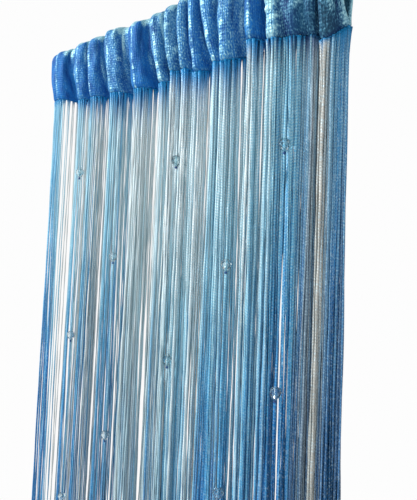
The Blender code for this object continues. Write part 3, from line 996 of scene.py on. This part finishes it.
def makeBeads():
    # seven rings turned about the string: six belts of flat facets, wide above and narrow below, round a hole
    rng = np.random.default_rng(beads["seed"])
    centres = beadCentres
    turns = rng.uniform(0, 2 * pi, len(centres))
    r, h = beads["radius"], beads["height"] / 2
    radius = np.array((beads["hole"], 0.50 * r, 0.92 * r, r, 0.72 * r, 0.28 * r, beads["hole"]))
    z = np.array((h * 0.93, h, h * 0.62, h * 0.12, -h * 0.50, -h, -h * 0.93))
    rings = repeated(radius, z, beads["facets"], centres, turns, 1)
    count, levels, sides = rings.shape[:3]
    s, i, j = np.meshgrid(np.arange(count), np.arange(levels), np.arange(sides), indexing="ij")
    start, following = s * levels * sides, (j + 1) % sides
    low = (i + 1) % levels
    here, below = start + i * sides, start + low * sides
    # facets are triangles, turned alternately, so that each one is flat
    odd = i % 2 == 1
    a, b, c, d = here + j, below + j, below + following, here + following
    # ring i + 1 is half a facet on when i is even, half a facet back when i is odd
    first = np.stack((a, b, np.where(odd, c, d)), -1)
    second = np.stack((np.where(odd, a, d), np.where(odd, c, b), np.where(odd, d, c)), -1)
    piece = makeMesh("beads", joined(rings), triangles=joined(first, second))
    piece.data.shade_flat()
    return piece


def clearAcrylic():
    # moulded, faceted acrylic: clear pale aqua, hard glints on the facets, and a painted dark rim
    made, tree, shader = newMaterial("clear moulded acrylic")
    place = addNode(tree, "TexCoord").outputs["Object"]
    tint = addNode(tree, "TexNoise", {"Scale": 55.0, "Detail": 1.0, "Vector": place})
    body = addNode(tree, "ValToRGB", {"Fac": tint}, ((0.35, "#D3EEF5"), (0.65, "#F4FCFE")))
    # painted reflection: drawn dark navy-teal where it is seen edge on, for the dark surroundings the plastic
    # would reflect
    edge = addNode(tree, "LayerWeight", {"Blend": 0.5}).outputs["Facing"]
    edgeShade = addNode(tree, "MapRange", {
        "Value": edge, "From Min": 0.36, "From Max": 0.74, "To Min": 0.0, "To Max": 0.95})
    rimmed = addNode(tree, "Mix", {"data_type": "RGBA", "Factor": edgeShade, 6: body, 7: linear("#174A66")})
    setNode(tree, shader, {
        "Base Color": rimmed.outputs[2], "Roughness": 0.03, "IOR": 1.49, "Transmission Weight": 1.0})
    return made


def makeKnots(numbers, centres):
    # one knot under each bead: r = radius cos(a) and z = stretch radius sin(a), a from 88 degrees to -88
    rng = np.random.default_rng(beads["seed"] + 1)
    below = centres.copy()
    below[:, 2] -= beads["height"] / 2 + beads["knotDrop"]
    x, y = stringLine(numbers, below[:, 2])
    step = towardsViewer(x, y) * beads["forward"]
    below[:, 0], below[:, 1] = x + step[:, 0], y + step[:, 1]
    turns = rng.uniform(0, 2 * pi, len(below))
    angle, radius = np.radians(np.linspace(88, -88, 7)), beads["knotRadius"]
    r, z = radius * np.cos(angle), beads["knotStretch"] * radius * np.sin(angle)
    rings = repeated(r, z, beads["facets"], below, turns, 0)
    count, levels, sides = rings.shape[:3]
    s, j = np.meshgrid(np.arange(count), np.arange(1, sides - 1), indexing="ij")
    top, foot = s * levels * sides, (s * levels + levels - 1) * sides
    upper, lower = np.stack((top, top + j, top + j + 1), -1), np.stack((foot, foot + j + 1, foot + j), -1)
    return makeMesh("bead_knots", joined(rings), tubeQuads(count, levels, sides), joined(upper, lower))


def knottedThread():
    # knot of the string's own yarn, drawn a darker navy than the yarn, matt
    made, tree, shader = newMaterial("knotted polyester thread")
    place = addNode(tree, "TexCoord").outputs["Object"]
    grain = addNode(tree, "TexNoise", {"Scale": 900.0, "Detail": 2.0, "Vector": place})
    setNode(tree, shader, {
        "Base Color": addNode(tree, "ValToRGB", {"Fac": grain}, ((0.35, "#0B2F63"), (0.70, "#245E9E"))),
        "Roughness": 0.7,
        "Normal": addNode(tree, "Bump", {"Strength": 0.5, "Distance": 0.0003, "Height": grain}),
    })
    return made


beadPiece = makeBeads()
beadPiece.data.materials.append(clearAcrylic())
knotPiece = makeKnots(beadNumbers, beadCentres)
knotPiece.data.materials.append(knottedThread())
for piece in (beadPiece, knotPiece):
    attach(piece, "root")
    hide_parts("string_fall")
print(f"beads: {len(beadCentres)}")

# Studio: pale floor, one soft key light from the front left, a weak fill, near-white surroundings

studio = dict(
    floorHeight=-2.02,
    floorHalf=2.0,
    # where each light stands, what it is aimed at, its size across and its power
    lights=dict(
        key=((-1.5, -1.8, 0.9), (0, 0, -0.45), 1.1, 82.0),
        fill=((1.6, -1.4, -0.6), (0, 0, -0.7), 1.6, 9.0),
    ),
    skyLight=0.58,
)


def makeStudio():
    h, z = studio["floorHalf"], studio["floorHeight"]
    corners = np.array([(-h, -h, z), (h, -h, z), (h, h, z), (-h, h, z)])
    floor = makeMesh("floor", corners, np.array([[0, 1, 2, 3]]))
    made, tree, shader = newMaterial("matt painted floor")
    place = addNode(tree, "TexCoord").outputs["Object"]
    mottle = addNode(tree, "TexNoise", {"Scale": 3.0, "Detail": 3.0, "Vector": place})
    paint = addNode(tree, "ValToRGB", {"Fac": mottle}, ((0.0, "#E4E2DF"), (1.0, "#ECEAE8")))
    setNode(tree, shader, {"Base Color": paint, "Roughness": 0.85})
    floor.data.materials.append(made)
    for name, (place, target, size, power) in studio["lights"].items():
        data = bpy.data.lights.new(name, "AREA")
        data.shape, data.size, data.energy = "DISK", size, power
        light = bpy.data.objects.new(name, data)
        light.location = place
        light.rotation_euler = (Vector(target) - Vector(place)).to_track_quat("-Z", "Y").to_euler()
        bpy.context.scene.collection.objects.link(light)

    # the surroundings look near-white, and light the curtain less than they look
    world = bpy.data.worlds.new("studio")
    world.use_nodes = True
    tree = world.node_tree
    path = addNode(tree, "LightPath").outputs
    through = addNode(tree, "Math", {
        "operation": "MAXIMUM", 0: path["Is Camera Ray"], 1: path["Is Transmission Ray"]})
    seen = addNode(tree, "MapRange", {"Value": through, "To Min": studio["skyLight"], "To Max": 1.0})
    setNode(tree, tree.nodes["Background"], {"Color": linear("#FDFDFD"), "Strength": seen})
    bpy.context.scene.world = world
    bpy.context.scene.view_settings.view_transform = "Standard"


makeStudio()
print("studio made")
